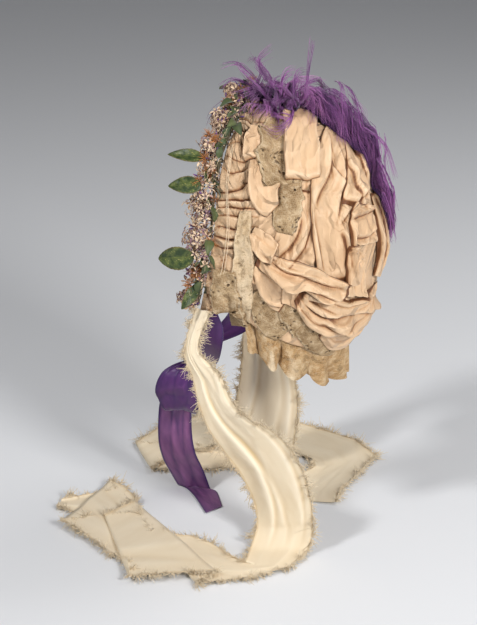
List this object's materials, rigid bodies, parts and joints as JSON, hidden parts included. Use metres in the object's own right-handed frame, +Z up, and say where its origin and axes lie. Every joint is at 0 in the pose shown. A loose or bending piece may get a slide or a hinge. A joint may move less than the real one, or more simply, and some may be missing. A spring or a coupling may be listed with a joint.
{
  "type": "poke bonnet",
  "caption": "Poke bonnet with a draped silk crown, ruched brim, lace, flower wreath, curled plume, long fringed silk ties and a purple chin ribbon tied in a bow",
  "frame": {"origin": "the head seat: the point at the top of a head that carries the bonnet, on the head's vertical axis", "axes": "+Z up; the wearer faces -Y; the wearer's left, the side that is shown, is +X"},
  "size_m": [0.4055, 0.3206, 0.4686],
  "materials": {
    "silk": "peach cream silk satin with a soft sheen",
    "lace": "tan machine lace, matt, with small holes",
    "tie": "cream plain silk with frayed fringed edges",
    "purple": "purple sheer silk ribbon with a soft sheen",
    "plume": "dyed purple ostrich feather, curled, soft",
    "floret": "small cream and lilac cloth florets, matt",
    "sprig": "orange brown chenille sprigs, fluffy",
    "leaf": "dark green starched cloth leaves and wrapped wire"
  },
  "bodies": {
    "root": {"back_strip": "silk", "band_diagonal": "silk", "bow_knot": "purple", "bow_loop": "purple", "bow_tail_back": "purple", "bow_tail_front": "purple", "brim": "silk", "chin_strap": "purple", "crown": "silk", "florets_1": "floret", "florets_10": "floret", "florets_2": "floret", "florets_3": "floret", "florets_4": "floret", "florets_5": "floret", "florets_6": "floret", "florets_7": "floret", "florets_8": "floret", "florets_9": "floret", "fold_panel": "silk", "garland_stem": "leaf", "lace_cheek": "lace", "lace_fall_lower": "lace", "lace_fall_upper": "lace", "lace_nape_back": "lace", "lace_nape_side": "lace", "lace_nape_square": "lace", "lace_side_strip": "lace", "leaf_large": "leaf", "leaf_lower": "leaf", "leaf_right_large": "leaf", "leaf_right_upper": "leaf", "leaf_round": "leaf", "leaf_upper": "leaf", "loop_back_knot": "silk", "loop_back_point": "silk", "loop_back_square": "silk", "loop_back_upper": "silk", "loop_centre": "silk", "loop_front_lower": "silk", "loop_front_upper": "silk", "loop_side_small": "silk", "nape_ruffle": "lace", "panel_back": "silk", "panel_side": "silk", "panel_side_lower": "silk", "plume_fall": "plume", "plume_tuft": "plume", "puff_lower": "silk", "right_lace": "lace", "right_loop": "silk", "right_panel": "silk", "right_swag": "silk", "sprig_1": "sprig", "sprig_2": "sprig", "sprig_3": "sprig", "sprig_4": "sprig", "swag_lower": "silk", "tie_left": "tie", "tie_right": "tie"}
  },
  "joints": []
}
